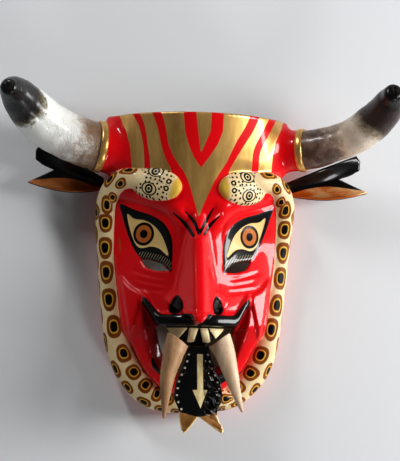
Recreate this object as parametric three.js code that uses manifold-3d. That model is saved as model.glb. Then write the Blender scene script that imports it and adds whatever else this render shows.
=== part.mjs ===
// A carved and lacquered wooden devil mask with bull horns, lying face up on its rear rim.
// Millimetres. +X is the viewer's right, +Y points up the face to the crown, +Z out of the face.
import * as THREE from 'three';
import { mergeVertices } from 'three/addons/utils/BufferGeometryUtils.js';
import Module from 'manifold-3d';

const wasm = await Module();
wasm.setup();

// ---- driving dimensions ------------------------------------------------------------------
const CROWN_Y = 131;            // top rim of the flared crown
const FACE_FOOT_Y = -122;       // where the carved face ends, under the snakes at the chin
const WALL = 9;                 // thickness of the carved wooden side wall
const FRONT_WALL = 10.5;        // least height of wood over the hollow, measured straight up
const EDGE_WALL = 5;            // wood left inside the face's edge, where it drops to the snakes
const GAP = 0.3;                // clearance between pieces that touch

const SNAKE_RADIUS = 11.5;      // of each snake's body beside the face
const SNAKE_REST_Z = 21;        // height of the bodies' centre line above the rear rim

// Each socket collar runs from inside the crown to its mouth, along an axis that leans forward.
const SOCKETS = {
  left: { side: -1, mouth: [-94.5, 103.4, 41], axis: [-1, 0.1, 0.2], length: 28, radius: 23.6 },
  right: { side: 1, mouth: [101, 106.2, 43], axis: [1, 0.05, 0.42], length: 34, radius: 19.8 },
};
const SOCKET_RIM = 1.2;         // wall of the collar round the horn
const SOCKET_RECESS = 5;        // how deep the horn sits in it
const HORN_CLEARANCE = 0.6;
const EAR = { thickness: 2.6, rootX: 85.5, z: 13.5, tipReach: 75, notchReach: 50, lobeReach: 68 };
const TONGUE = { thickness: 3.2, topY: -79, tipY: -142, forkLength: 15 };
const TEETH = { topY: -55, footY: -77, backZ: 52, frontZ: 70.5, topHalf: 29, footHalf: 9 };
const MOUTH_BEVEL = 13;         // width of the slope from the cheek down to the open mouth

// ---- helpers: curves ---------------------------------------------------------------------
const mix = (a, b, t) => a + (b - a) * t;
const clamp01 = (t) => Math.min(1, Math.max(0, t));
const smooth = (t) => clamp01(t) ** 2 * (3 - 2 * clamp01(t));
const ramp = (from, to, value) => smooth((value - from) / (to - from));
const bump = (distance, width) => Math.exp(-((distance / width) ** 2));
const softRamp = (value, softness) => softness * Math.log1p(Math.exp(value / softness));

// A smooth function of one number through the given [place, value] knots.
function through(knots) {
  const curve = new THREE.CatmullRomCurve3(knots.map(([p, v]) => new THREE.Vector3(p, v, 0)));
  const samples = curve.getPoints(12 * knots.length);
  return (place) => {
    const next = samples.findIndex((s) => s.x >= place);
    if (next === 0) return samples[0].y;
    if (next < 0) return samples.at(-1).y;
    const [a, b] = [samples[next - 1], samples[next]];
    return mix(a.y, b.y, (place - a.x) / (b.x - a.x));
  };
}

const mirrored = (points, side) => points.map(([x, y, z]) => new THREE.Vector3(side * x, y, z));

// ---- helpers: solids ---------------------------------------------------------------------
function toSolid(geometry) {
  const bare = geometry.clone();
  bare.deleteAttribute('normal');
  bare.deleteAttribute('uv');
  const merged = mergeVertices(bare, 1e-4);
  return new wasm.Manifold(new wasm.Mesh({
    numProp: 3,
    vertProperties: new Float32Array(merged.attributes.position.array),
    triVerts: new Uint32Array(merged.index.array),
  }));
}

function toGeometry(solid) {
  const mesh = solid.getMesh();
  const geometry = new THREE.BufferGeometry();
  geometry.setAttribute('position', new THREE.BufferAttribute(mesh.vertProperties, 3));
  geometry.setIndex(new THREE.BufferAttribute(mesh.triVerts, 1));
  geometry.computeVertexNormals();
  return geometry;
}

// A closed block of columns and rows, each of whose corners is moved by place(u, v, top):
// u and v run from 0 to 1 and top says whether the corner is on the upper face.
function sheetBlock(columns, rows, place) {
  const geometry = new THREE.BoxGeometry(1, 1, 1, columns, rows, 1);
  const corners = geometry.attributes.position;
  for (let i = 0; i < corners.count; i += 1) {
    const [x, y, z] = place(corners.getX(i) + 0.5, corners.getY(i) + 0.5, corners.getZ(i) > 0);
    corners.setXYZ(i, x, y, z);
  }
  return geometry;
}

// A round bar along a curve, with its own radius at each place from 0 to 1.
function taperedBar(points, radiusAt, sides, steps) {
  const curve = new THREE.CatmullRomCurve3(points);
  const frames = curve.computeFrenetFrames(steps, false);
  const geometry = new THREE.CylinderGeometry(1, 1, 1, sides, steps);
  const corners = geometry.attributes.position;
  for (let i = 0; i < corners.count; i += 1) {
    const along = corners.getY(i) + 0.5;
    const step = Math.round(along * steps);
    const radius = radiusAt(along);
    const corner = curve.getPointAt(along)
      .addScaledVector(frames.normals[step], corners.getZ(i) * radius)
      .addScaledVector(frames.binormals[step], corners.getX(i) * radius);
    corners.setXYZ(i, corner.x, corner.y, corner.z);
  }
  return geometry;
}

function prism(outline, fromZ, toZ) {
  const shape = new THREE.Shape(outline.map(([x, y]) => new THREE.Vector2(x, y)));
  return new THREE.ExtrudeGeometry(shape, { depth: toZ - fromZ, bevelEnabled: false })
    .translate(0, 0, fromZ);
}

// A cylinder about a socket's axis, between two distances from its mouth.
function socketCylinder({ mouth, axis }, radius, from, to) {
  const outward = new THREE.Vector3(...axis).normalize();
  const turn = new THREE.Quaternion().setFromUnitVectors(new THREE.Vector3(0, 1, 0), outward);
  const middle = new THREE.Vector3(...mouth).addScaledVector(outward, (from + to) / 2);
  return new THREE.CylinderGeometry(radius, radius, to - from, 24)
    .applyQuaternion(turn)
    .translate(...middle);
}

// ---- the carved face ---------------------------------------------------------------------
// Half the width of the whole mask, and of the face between the snakes, at each height.
const maskHalfWidth = through([[-141, 20], [-137, 38], [-130, 51], [-116, 65], [-103, 73],
  [-76, 82], [-32, 87], [22, 89.8], [58, 88.8], [80, 84.5], [131, 84.5]]);
const faceHalfWidth = through([[-122, 22], [-116, 31], [-100, 45.5], [-87, 52.5], [-76, 58.5],
  [-66, 65.5], [-28, 71], [22, 76], [60, 75.5], [80, 80], [95, 84], [131, 84.5]]);
// Height of the centre line without the nose, and of the nose ridge.
const centreHeight = through([[-122, 46], [-112, 55], [-98, 60], [-76, 68], [-60, 77], [-45, 75],
  [-20, 70], [10, 69], [36, 72], [60, 77], [82, 80], [105, 86], [131, 93]]);
const noseRidge = through([[-60, 106], [-50, 104], [-25, 95], [5, 84], [36, 76], [60, 60]]);
// Half the width of the open mouth, from its corners down to the lower lip.
const mouthHalfWidth = through([[-112, 5], [-106, 22], [-97, 35], [-84, 41.5], [-69, 46],
  [-57, 48], [-38, 50]]);
// The lower edge of the upper lip, straight across the middle and turned up at the corners.
const lipFootY = (a) => -61.5 + 20 * ramp(34, 50, a);

function faceHeight(x, y) {
  const a = Math.abs(x);
  const centre = centreHeight(y);
  const crown = centre * Math.sqrt(Math.max(0.1, 1 - (a / 93) ** 2));
  let z = mix(centre - 0.57 * softRamp(a - 16, 5), crown, ramp(62, 92, y));
  const browY = 36 + 0.42 * a;
  z += 5 * bump(y - browY, 10) * ramp(6, 26, a) * (1 - ramp(66, 78, a));
  z -= 4 * bump(Math.hypot((a - 50) / 26, (y - 19) / 24), 0.8);
  const nose = noseRidge(y) - 1.15 * softRamp(a - 2, 1.5);
  const wings = 82 - 1.3 * Math.max(0, a - 17) - 0.06 * (y + 42) ** 2;
  const noseFoot = ramp(-60.5, -56, y - 0.62 * a);
  z = Math.max(z, mix(0, Math.max(nose, wings), noseFoot));
  const lip = y - lipFootY(a);
  z += 5 * ramp(-1, 3, lip) * (1 - ramp(8, 14, lip)) * (1 - ramp(44, 52, a));
  const inMouth = mouthHalfWidth(Math.max(-112, y)) - a;
  const beside = clamp01(Math.min(inMouth, (lipFootY(a) - y) * 2) / MOUTH_BEVEL);
  const drop = beside * (1 - ramp(-60, -52, y) * (1 - ramp(30, 44, a)));
  z -= 17 * drop;
  return Math.max(z, 24);
}

function carvedFace() {
  // The rows lie closest together at the lips and the foot of the nose.
  const rowY = through([[0, FACE_FOOT_Y], [0.2, -68], [0.5, -34], [0.75, 45], [1, CROWN_Y]]);
  return sheetBlock(32, 52, (u, v, top) => {
    const y = rowY(v);
    const x = (2 * u - 1) * faceHalfWidth(y);
    return [x, y, top ? faceHeight(x, y) : 0];
  });
}

// The wall that carries the snakes, from the rear rim up to their bodies.
function sideWall() {
  const inset = 3.5;
  const right = [];
  for (let y = 88; y > -141; y -= 8) right.push([maskHalfWidth(y) - inset, Math.max(y, -137)]);
  const left = right.map(([x, y]) => [-x, y]).reverse();
  return prism([...left, ...right], 0, SNAKE_REST_Z + 2);
}

// The hollow for the face: open behind and through the crown's top.
const hollowHeight = through([[-132, 8], [-122, 30], [-104, 42], [-74, 50], [-40, 57], [0, 59],
  [40, 61], [80, 68], [105, 74], [140, 84]]);
function hollow() {
  const below = -5;
  return sheetBlock(17, 22, (u, v, top) => {
    const y = mix(-129, CROWN_Y + 6, v);
    const half = maskHalfWidth(Math.min(CROWN_Y, y)) - WALL - (y < -100 ? 2 : 0);
    const x = (2 * u - 1) * half;
    const arch = Math.max(0, 1 - Math.abs(x / half) ** 2.6) ** 0.5;
    const roof = 10 + (hollowHeight(y) - 10) * arch;
    const underFace = faceHeight(x, y) - FRONT_WALL;
    const edge = faceHalfWidth(y) - EDGE_WALL;
    const wood = mix(underFace, SNAKE_REST_Z - WALL, ramp(edge - 8, edge, Math.abs(x)));
    return [x, y, top ? Math.min(roof, wood) : below];
  });
}

// ---- the two snakes ----------------------------------------------------------------------
const snakeSide = [[46, 71, 62], [57, 72.5, 59], [69, 72, 52], [78, 65, 43], [82, 54, 35],
  [81.5, 40, 28], [79.5, 15, 23], [75.5, -30, SNAKE_REST_Z], [70, -74, SNAKE_REST_Z],
  [62.5, -96, SNAKE_REST_Z], [55, -108, SNAKE_REST_Z], [44, -119.5, SNAKE_REST_Z], [32, -126, SNAKE_REST_Z]];
const upperTail = [[12, -129, 24], [-12, -128.5, 28], [-30, -126.5, 29], [-34, -126, 29]];
const lowerTail = [[14, -129, 17], [0, -129.5, 16]];

function snake(side, tail) {
  const bodyRadius = through([[0, 8], [0.06, 9], [0.14, 9.8], [0.25, SNAKE_RADIUS],
    [0.6, SNAKE_RADIUS], [0.75, SNAKE_RADIUS + 1.2], [0.93, 11], [0.985, 8.5], [1, 5]]);
  return taperedBar(mirrored([...snakeSide, ...tail], side), bodyRadius, 9, 36);
}

// A flattened egg-shaped head lying on the brow, its snout towards the middle.
function snakeHead(side, turn) {
  return new THREE.SphereGeometry(1, 14, 8)
    .scale(25.5, 16.5, 8.5)
    .rotateY(side * 0.5)
    .rotateZ(turn)
    .translate(side * 39.5, side < 0 ? 68.5 : 66.5, 66);
}

// ---- sockets, teeth and openings ---------------------------------------------------------
const boreRadius = ({ radius }) => radius - SOCKET_RIM;
const socketCollar = (socket) => socketCylinder(socket, socket.radius, -socket.length, 0);
const socketBore = (socket) => socketCylinder(socket, boreRadius(socket), -SOCKET_RECESS, 5);

// The row of teeth under the upper lip, with the tongue's seat hanging from its middle.
function teethPanel() {
  const { topY, footY, topHalf, footHalf } = TEETH;
  const seatY = -94;
  return prism([[topHalf, topY], [-topHalf, topY], [-footHalf - 9, footY + 4], [-footHalf, footY],
    [-footHalf + 2, seatY], [footHalf - 2, seatY], [footHalf, footY], [footHalf + 9, footY + 4]],
  TEETH.backZ, TEETH.frontZ);
}

const rightThrough = [-10, 120];  // from behind the rim to before the nose
function mouthOpening() {
  const right = [];
  for (let y = -63; y >= -104; y -= 5.5) {
    right.push([Math.max(4, mouthHalfWidth(y) - MOUTH_BEVEL + 1), y]);
  }
  const left = right.map(([x, y]) => [-x, y]).reverse();
  return prism([...left, ...right], ...rightThrough);
}

const eyeSlit = [[51.5, -0.5], [30, -4], [24.3, -12.5], [37, -11.8], [46, -8]];
const eyeOpening = (side) => prism(eyeSlit.map(([x, y]) => [side * x, y]), ...rightThrough);

function maskBody() {
  let body = toSolid(carvedFace()).add(toSolid(sideWall()));
  for (const socket of Object.values(SOCKETS)) body = body.add(toSolid(socketCollar(socket)));
  body = body.add(toSolid(snakeHead(-1, -0.36))).add(toSolid(snakeHead(1, 0.12)));
  body = body.add(toSolid(snake(1, lowerTail))).add(toSolid(snake(-1, upperTail)));
  body = body.subtract(toSolid(hollow())).subtract(toSolid(mouthOpening()));
  body = body.subtract(toSolid(eyeOpening(-1))).subtract(toSolid(eyeOpening(1)));
  for (const socket of Object.values(SOCKETS)) body = body.subtract(toSolid(socketBore(socket)));
  return toGeometry(body.add(toSolid(teethPanel())));
}

// ---- horns, tusks, tongue and ears -------------------------------------------------------
const hornPaths = {
  left: [[-111, 107.4, 46], [-138, 118.2, 58], [-157.5, 132, 76], [-169.5, 141.5, 98],
    [-175.5, 142.4, 119]],
  right: [[116.5, 108.7, 50.5], [144, 118.4, 63], [163.3, 134.5, 82], [168.5, 146, 102],
    [167.5, 150.3, 119]],
};

// The horns' girths differ: the left one is stouter, the right one keeps its width to the tip.
const hornRadii = {
  left: [[0.3, 21.8], [0.55, 20.5], [0.78, 16], [0.93, 10.5], [1, 6.6]],
  right: [[0.3, 16.8], [0.55, 17.2], [0.78, 15], [0.93, 10.5], [1, 7.6]],
};

function horn(name) {
  const socket = SOCKETS[name];
  const outward = new THREE.Vector3(...socket.axis).normalize();
  const mouth = new THREE.Vector3(...socket.mouth);
  const foot = mouth.clone().addScaledVector(outward, GAP - SOCKET_RECESS);
  const base = boreRadius(socket) - HORN_CLEARANCE;
  const radius = through([[0, base], [0.08, base], ...hornRadii[name]]);
  const path = [foot, mouth, ...hornPaths[name].map((p) => new THREE.Vector3(...p))];
  return taperedBar(path, radius, 16, 13);
}

const leftTusk = [[-18.3, -70.5, 81.5], [-23, -89, 85], [-27.3, -106, 88], [-29, -125, 89],
  [-29.7, -143.8, 87]];
const rightTusk = [[19.2, -70, 81.5], [24.5, -87.5, 85], [29.8, -105.5, 88], [35, -122.5, 89],
  [40, -137, 87]];
function tusk(points) {
  const radius = through([[0, 9.6], [0.15, 9.6], [0.45, 7.3], [0.75, 4.3], [1, 1.2]]);
  return taperedBar(points.map((p) => new THREE.Vector3(...p)), radius, 10, 8);
}

// The tongue hangs from its nailed top, widens, and ends in two points that lean to one side.
const tongueHalfWidth = through([[-158, 19.7], [-148, 18], [-138.7, 17.2], [-125, 21.8],
  [-111.5, 20], [-98, 14.3], [-79, 9.3]]);
const tongueMiddleX = (y) => 1.2 + 4.5 * ramp(0, 18, -140 - y);
function tongue() {
  return sheetBlock(8, 11, (u, v, top) => {
    const across = 2 * u - 1;
    const fork = TONGUE.forkLength * (1 - Math.abs(Math.abs(across) - 0.85) / 0.85);
    const y = mix(TONGUE.tipY - fork, TONGUE.topY, v);
    const x = across * tongueHalfWidth(y) + tongueMiddleX(y);
    const below = TONGUE.topY - y;
    const crest = 3 * (1 - Math.abs(across)) * ramp(10, 30, below) + 0.14 * below;
    return [x, y, TEETH.frontZ + GAP + crest + (top ? TONGUE.thickness : 0)];
  });
}

// A cupped leather ear: the upper lobe ends square, the lower one in a long point. At the end
// v runs from the point (0) over the notch between the lobes (0.5) to the upper corner (1).
const EAR_END_Y = { tip: 70, notch: 82, corner: 105 };
function ear(side, scale) {
  const reachAt = (v) => mix(EAR.tipReach, EAR.notchReach, ramp(0, 0.5, v))
    + (EAR.lobeReach - EAR.notchReach) * ramp(0.5, 0.72, v);
  const lowerEnd = (v) => mix(EAR_END_Y.tip, EAR_END_Y.notch, ramp(0, 0.5, v));
  const endY = (v) => mix(lowerEnd(v), EAR_END_Y.corner, clamp01((v - 0.5) / 0.5));
  const rootY = (v) => mix(66, 76.5, v);
  return sheetBlock(9, 8, (u, v, top) => {
    const x = EAR.rootX + scale * u * reachAt(v);
    const sag = Math.sin(Math.PI * u);
    const y = mix(rootY(v), endY(v), u) - 5 * sag * (1 - v);
    const cup = 13 * (2 * v - 1) ** 2 * (0.2 + 0.8 * sag);
    return [side * x, y, EAR.z + 8 * u + cup + (top === side > 0 ? EAR.thickness : 0)];
  });
}

// ---- assembly ----------------------------------------------------------------------------
const finishes = {
  lacquer: { color: 0xb30d12, roughness: 0.2, metalness: 0 },
  horn: { color: 0x8d8578, roughness: 0.35, metalness: 0 },
  tusk: { color: 0xa08d76, roughness: 0.7, metalness: 0 },
  leather: { color: 0x0a0908, roughness: 0.25, metalness: 0 },
};

const mask = new THREE.Group();
function addPiece(name, geometry, finish) {
  const piece = new THREE.Mesh(geometry, new THREE.MeshStandardMaterial(finishes[finish]));
  piece.name = name;
  mask.add(piece);
}

addPiece('mask_body', maskBody(), 'lacquer');
addPiece('horn_left', horn('left'), 'horn');
addPiece('horn_right', horn('right'), 'horn');
addPiece('tusk_left', tusk(leftTusk), 'tusk');
addPiece('tusk_right', tusk(rightTusk), 'tusk');
addPiece('tongue', tongue(), 'leather');
addPiece('ear_left', ear(-1, 0.945), 'leather');
addPiece('ear_right', ear(1, 1.055), 'leather');

// The origin is the middle of the footprint, on the plane that the rear rim rests on.
const box = new THREE.Box3().setFromObject(mask);
const centre = box.getCenter(new THREE.Vector3());
mask.position.set(-centre.x, -centre.y, -box.min.z);
mask.updateMatrixWorld(true);

export default mask;
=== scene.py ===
"""A lacquered wooden devil mask with bull horns, lying face up.

The face's relief is one function of place on the mask, in millimetres, with the origin in the
middle of the mask body and y = 131 at the crown's rim. The wooden shell is the zero surface of a
field built from that relief, two snake bodies, the horn sockets and the hollow behind. The
painted decoration is stored on its vertices as distances, which the lacquer's shader turns into
crisp edges.
"""
import functools
import itertools
import math

import bpy
import numpy as np
from mathutils import Matrix, Vector


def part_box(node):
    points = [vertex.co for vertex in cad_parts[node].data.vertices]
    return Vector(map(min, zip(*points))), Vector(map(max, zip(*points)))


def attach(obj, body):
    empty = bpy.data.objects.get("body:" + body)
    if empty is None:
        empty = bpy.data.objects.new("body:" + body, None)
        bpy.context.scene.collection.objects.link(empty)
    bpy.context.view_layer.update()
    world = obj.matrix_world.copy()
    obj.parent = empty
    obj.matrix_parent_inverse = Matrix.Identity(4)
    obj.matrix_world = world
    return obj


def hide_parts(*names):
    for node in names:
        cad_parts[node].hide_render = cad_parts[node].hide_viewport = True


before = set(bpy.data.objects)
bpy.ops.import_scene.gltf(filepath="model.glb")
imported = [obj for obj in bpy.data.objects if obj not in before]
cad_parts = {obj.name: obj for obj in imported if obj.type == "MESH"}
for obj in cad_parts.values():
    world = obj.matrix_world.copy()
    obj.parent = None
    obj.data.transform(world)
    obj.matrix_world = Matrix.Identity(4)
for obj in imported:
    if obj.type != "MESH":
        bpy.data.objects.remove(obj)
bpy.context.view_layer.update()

MM = 0.001
CROWN_Y = 131.0
body_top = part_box("mask_body")[1].y
# The two ears start equally far out on either side of the mask's middle.
middle_x = (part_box("ear_left")[1].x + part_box("ear_right")[0].x) / 2
ORIGIN = np.array([middle_x, body_top - CROWN_Y * MM, 0.0])


def to_metres(points):
    """Points in the mask's millimetres, as metres in the shared frame."""
    return np.asarray(points, float) * MM + ORIGIN


# ---------------------------------------------------------------------------- small maths
def through(knots):
    """A smooth function of one number through (place, value) knots, without overshoot."""
    place, value = np.array(sorted(knots), float).T
    step = np.diff(place)
    slope = np.diff(value) / step
    tangent = np.zeros_like(value)
    tangent[0], tangent[-1] = slope[0], slope[-1]
    same = slope[:-1] * slope[1:] > 0
    harmonic = 2 * slope[:-1] * slope[1:] / np.where(same, slope[:-1] + slope[1:], 1)
    tangent[1:-1] = np.where(same, harmonic, 0)
    fine = np.linspace(place[0], place[-1], 600)
    i = np.clip(np.searchsorted(place, fine, side="right") - 1, 0, len(step) - 1)
    t = (fine - place[i]) / step[i]
    smooth = (value[i] * (1 + 2 * t) * (1 - t) ** 2 + step[i] * tangent[i] * t * (1 - t) ** 2
              + value[i + 1] * t**2 * (3 - 2 * t) + step[i] * tangent[i + 1] * t**2 * (t - 1))
    return lambda v: np.interp(v, fine, smooth)


def ramp(start, end, value):
    """A smooth step from 0 at start to 1 at end."""
    t = np.clip((value - start) / (end - start), 0, 1)
    return t * t * (3 - 2 * t)


def bump(distance, width):
    """1 at distance 0, fading away over the width."""
    return np.exp(-((distance / width) ** 2))


def soft_ramp(value, softness):
    """The value where it is positive, else 0, with a soft corner."""
    return softness * np.logaddexp(0, value / softness)


def least(*values):
    """The least of some numbers or arrays, point by point."""
    return functools.reduce(np.minimum, values)


def most(*values):
    """The greatest of some numbers or arrays, point by point."""
    return functools.reduce(np.maximum, values)


def mix(a, b, t):
    return a + (b - a) * t


def soft_min(a, b, k):
    """The lesser of a and b, rounded where they are within k of each other."""
    h = np.clip(0.5 + 0.5 * (b - a) / k, 0, 1)
    return mix(b, a, h) - k * h * (1 - h)


def soft_max(a, b, k):
    return -soft_min(-a, -b, k)


def measure(path):
    """The lengths of a path's segments, and how far along it each of its points is."""
    lengths = np.linalg.norm(np.diff(path, axis=0), axis=1)
    return lengths, np.concatenate([[0], np.cumsum(lengths)])


def stroke_distance(points, x, y):
    """(distance, place along from 0 to 1) of x, y from the open line through the points."""
    lengths, starts = measure(points)
    best = np.full(np.shape(x), 1e9)
    along = np.zeros(np.shape(x))
    for (ax, ay), (bx, by), start, length in zip(points, points[1:], starts, lengths):
        t = np.clip(((x - ax) * (bx - ax) + (y - ay) * (by - ay)) / length**2, 0, 1)
        d = np.hypot(x - ax - t * (bx - ax), y - ay - t * (by - ay))
        nearer = d < best
        best = np.where(nearer, d, best)
        along = np.where(nearer, (start + t * length) / starts[-1], along)
    return best, along


def inside(points, x, y):
    """Signed distance into the closed outline through the points, positive inside."""
    closed = list(points) + [points[0]]
    distance, _ = stroke_distance(closed, x, y)
    crossings = np.zeros(np.shape(x), bool)
    for (ax, ay), (bx, by) in zip(closed, closed[1:]):
        if ay == by:
            continue
        spans = (ay > y) != (by > y)
        crossings ^= spans & (x < ax + (y - ay) * (bx - ax) / (by - ay))
    return np.where(crossings, distance, -distance)


def stroke(points, half_width, x, y):
    """Signed distance into a line of the given half widths (start, middle, end)."""
    distance, along = stroke_distance(points, x, y)
    return np.interp(along, [0, 0.5, 1], half_width) - distance


def catmull_rom(a, b, c, d, t):
    """The smooth curve from b to c, between a before them and d after them."""
    return 0.5 * (2 * b + (c - a) * t + (2 * a - 5 * b + 4 * c - d) * t**2
                  + (3 * b - a - 3 * c + d) * t**3)


def rounded(points, steps=6):
    """A smooth closed outline through the points."""
    points = np.asarray(points, float)
    before, after, beyond = (np.roll(points, shift, 0) for shift in (1, -1, -2))
    out = [catmull_rom(before, points, after, beyond, t)
           for t in np.linspace(0, 1, steps, endpoint=False)]
    return np.stack(out, axis=1).reshape(-1, 2)


def curved(points, steps=8):
    """A smooth open line through 2-D or 3-D points."""
    points = np.asarray(points, float)
    padded = np.concatenate([[2 * points[0] - points[1]], points, [2 * points[-1] - points[-2]]])
    out = [catmull_rom(a, b, c, d, t)
           for a, b, c, d in zip(padded, padded[1:], padded[2:], padded[3:])
           for t in np.linspace(0, 1, steps, endpoint=False)]
    return np.array(out + [points[-1]])


# ---------------------------------------------------------------------------- the relief
mask_half_width = through([(-141, 12), (-137, 38), (-130, 51), (-116, 65), (-103, 73), (-76, 82),
                           (-32, 87), (22, 89.8), (58, 88.8), (80, 84.5), (131, 84.5)])
face_half_width = through([(-124, 16), (-116, 31), (-100, 45.5), (-87, 52.5), (-76, 58.5),
                           (-66, 65.5), (-28, 71), (22, 76), (60, 75.5), (80, 80), (95, 84),
                           (131, 84.5)])
centre_height = through([(-124, 44), (-112, 55), (-98, 60), (-76, 68), (-60, 77), (-45, 75),
                         (-20, 70), (10, 69), (36, 72), (60, 77), (82, 80), (105, 86), (131, 93)])
nose_ridge = through([(-60, 106), (-50, 104), (-25, 95), (5, 84), (36, 76), (60, 60)])
mouth_half_width = through([(-113, 4), (-106, 22), (-97, 35), (-84, 41.5), (-69, 46),
                            (-57, 48.5), (-38, 50.5)])
LIP_FOOT_Y, MOUTH_HOLE_FOOT_Y, MOUTH_FOOT_Y = -61.5, -105.0, -113.0
MOUTH_BEVEL, BEVEL_DEPTH = 13.0, 17.0
CROWN_HALF_WIDTH = 93.0
SIDE_SLOPE = 0.57


def lip_foot(a):
    """Lower edge of the upper lip: straight in the middle, turned up at the corners."""
    return LIP_FOOT_Y + 20 * ramp(34, 50, a)


def lip_top(a):
    """Upper edge of the black moustache line over the lip."""
    return -52.5 + 16 * ramp(31, 50, a)


# Shapes on the right half (x > 0), mirrored for the left.
EYE_WHITE = [(64.5, 40.5), (58, 36.5), (49, 35), (41, 30.5), (34, 22.5), (29, 11), (27, 1.5),
             (34.5, 8.5), (42, 11), (52.5, 10), (59, 20)]
EYE_BLACK = [(71, 50), (58, 44.5), (43.5, 39.5), (33, 33), (26.5, 24), (23.5, 13), (23.6, -4),
             (24.6, -13), (30.5, -6), (41, -1.5), (50, 0.2), (54, 4), (59, 12.5), (64, 25),
             (68.5, 39)]
EYE_SLIT = [(51, 0), (42, -1.2), (32, -4.5), (25, -12), (37, -11.5), (46, -8.4)]
IRIS = (49.0, 22.5)
CHEEK_FLAP = [(70, -15), (60, -26), (51, -33), (53, -47), (56.5, -62), (59.3, -73), (62, -62),
              (65, -45), (67.5, -28)]
BROW_GROOVES = [
    [(-24.5, 41), (-12.4, 30.5), (-6.2, 19.8)],
    [(-14.5, 43.5), (-6, 34), (-1.4, 22)],
    [(13, 47), (5.5, 33.5), (-0.6, 22)],
    [(18.7, 39.5), (11, 32), (4, 21.5)],
]
NOSE_X = -1.4
# The black paint left showing of the lower lip, on each side of the tongue; the wide stroke on the
# right also paints the shadow between the tongue and the right tusk.
LOWER_LIP_AND_SHADOW = [([(-38.8, -90), (-36, -98), (-30.5, -105)], (0.8, 2.4, 1.2)),
             ([(34.5, -97), (28, -106), (17, -114)], (3.0, 4.2, 3.6))]


def wrinkles(a, y):
    """Curved cheek wrinkles under each eye, as a depth."""
    depth = 0
    for shift in (0, 1, 2):
        line = curved([(26, -18.5 - 6 * shift), (38, -17 - 6 * shift), (51, -13.5 - 6.5 * shift),
                       (63 - 4 * shift, -8.5 - 7 * shift)], 4)
        distance, along = stroke_distance(line, a, y)
        fade = ramp(0, 0.25, along) * (1 - ramp(0.7, 1, along))
        depth = depth + (1.1 - 0.2 * shift) * bump(distance, 1.9) * fade
    return depth


def nostril(x, y):
    """Signed distance into the teardrop nostrils, narrow at the top."""
    n, rise = np.abs(x - NOSE_X) - 18.6, (y + 42.5) / 8.6
    half_wide = 5.4 * np.clip(1 - 0.42 * rise, 0.4, 1.3)
    return 5 * (1 - np.hypot((n + 0.10 * (y + 42)) / half_wide, rise))


def plain_face(a, y):
    """The face's sloping sides and eye sockets, below a round crown."""
    centre = centre_height(y)
    crown = centre * np.sqrt(most(0.1, 1 - (a / CROWN_HALF_WIDTH) ** 2))
    z = mix(centre - SIDE_SLOPE * soft_ramp(a - 16, 5), crown, ramp(62, 92, y))
    return z - 4 * bump(np.hypot((a - 50) / 26, (y - 19) / 24), 0.8)


def inside_mouth(a, y):
    """How far inside the mouth's sides a point is."""
    return mouth_half_width(most(MOUTH_FOOT_Y, y)) - a


def relief(x, y):
    """Height of the carved face above the rear rim."""
    a = np.abs(x)
    brow = 5 * bump(y - (36 + 0.42 * a), 10) * ramp(6, 26, a) * (1 - ramp(66, 78, a))
    z = plain_face(a, y) + brow

    eye = inside(rounded(EYE_BLACK, 3), a, y)
    z = z + 0.9 * ramp(-1.2, 1.6, eye)
    white = inside(rounded(EYE_WHITE, 3), a, y)
    eyeball = bump(np.hypot(a - IRIS[0], y - IRIS[1]), 11)
    z = z - 0.9 * ramp(-0.6, 0.8, white) + 2.6 * eyeball * ramp(-1, 3, white)
    lid_crease = curved([(73, 55), (58, 50.5), (42, 46), (29, 38.5), (21, 26), (19.5, 10)], 4)
    distance, along = stroke_distance(lid_crease, a, y)
    z = z - 1.8 * bump(distance, 2.2) * (1 - ramp(0.75, 1, along))

    cheek = bump(np.hypot((a - 55) / 20, (y + 24) / 15), 1.0)
    z = z + 3.0 * cheek - wrinkles(a, y)
    n = np.abs(x - NOSE_X)
    nose = nose_ridge(y) - 1.3 * soft_ramp(n - 4.4, 0.7) - 0.02 * n**2
    wings = 82 - 1.3 * most(0, n - 17) - 0.06 * (y + 42) ** 2
    nose_foot = ramp(-63, -60, y - 0.72 * n)
    z = soft_max(z, mix(0, soft_max(nose, wings, 3), nose_foot), 2)
    z = z - 4.5 * ramp(-0.4, 2.2, nostril(x, y))

    lip = y - lip_foot(a)
    z = z + 5 * ramp(-1, 2, lip) * (1 - ramp(8, 13, lip)) * (1 - ramp(46, 53, a))
    flap = inside(rounded(CHEEK_FLAP, 3), a, y)
    z = z + 3.2 * ramp(-0.6, 1.6, flap)

    in_mouth = inside_mouth(a, y)
    beside = np.clip(least(in_mouth, (lip_foot(a) - y) * 2) / MOUTH_BEVEL, 0, 1)
    z = z - BEVEL_DEPTH * beside * (1 - ramp(-60, -52, y) * (1 - ramp(30, 44, a)))
    lower_lip = bump(least(np.abs(in_mouth + 2), 30), 3.5) * (1 - ramp(-100, -90, y))
    z = z + 2.2 * lower_lip
    for groove in BROW_GROOVES:
        distance, along = stroke_distance(curved(groove, 4), x, y)
        z = z - 1.1 * bump(distance, 1.9)
    return most(z, 24)


hollow_height = through([(-132, 8), (-122, 30), (-104, 42), (-74, 50), (-40, 57), (0, 59),
                         (40, 61), (80, 68), (105, 74), (140, 84)])
WALL = 9.0
FRONT_WALL = 10.5
EDGE_WALL = 5.0
SNAKE_REST_Z = 21.0


def smooth_face(x, y):
    """The face without its fine carving, which the hollow behind follows."""
    a = np.abs(x)
    beside = np.clip(inside_mouth(a, y) / MOUTH_BEVEL, 0, 1)
    return plain_face(a, y) - BEVEL_DEPTH * beside * ramp(-46, -62, y)


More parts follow.
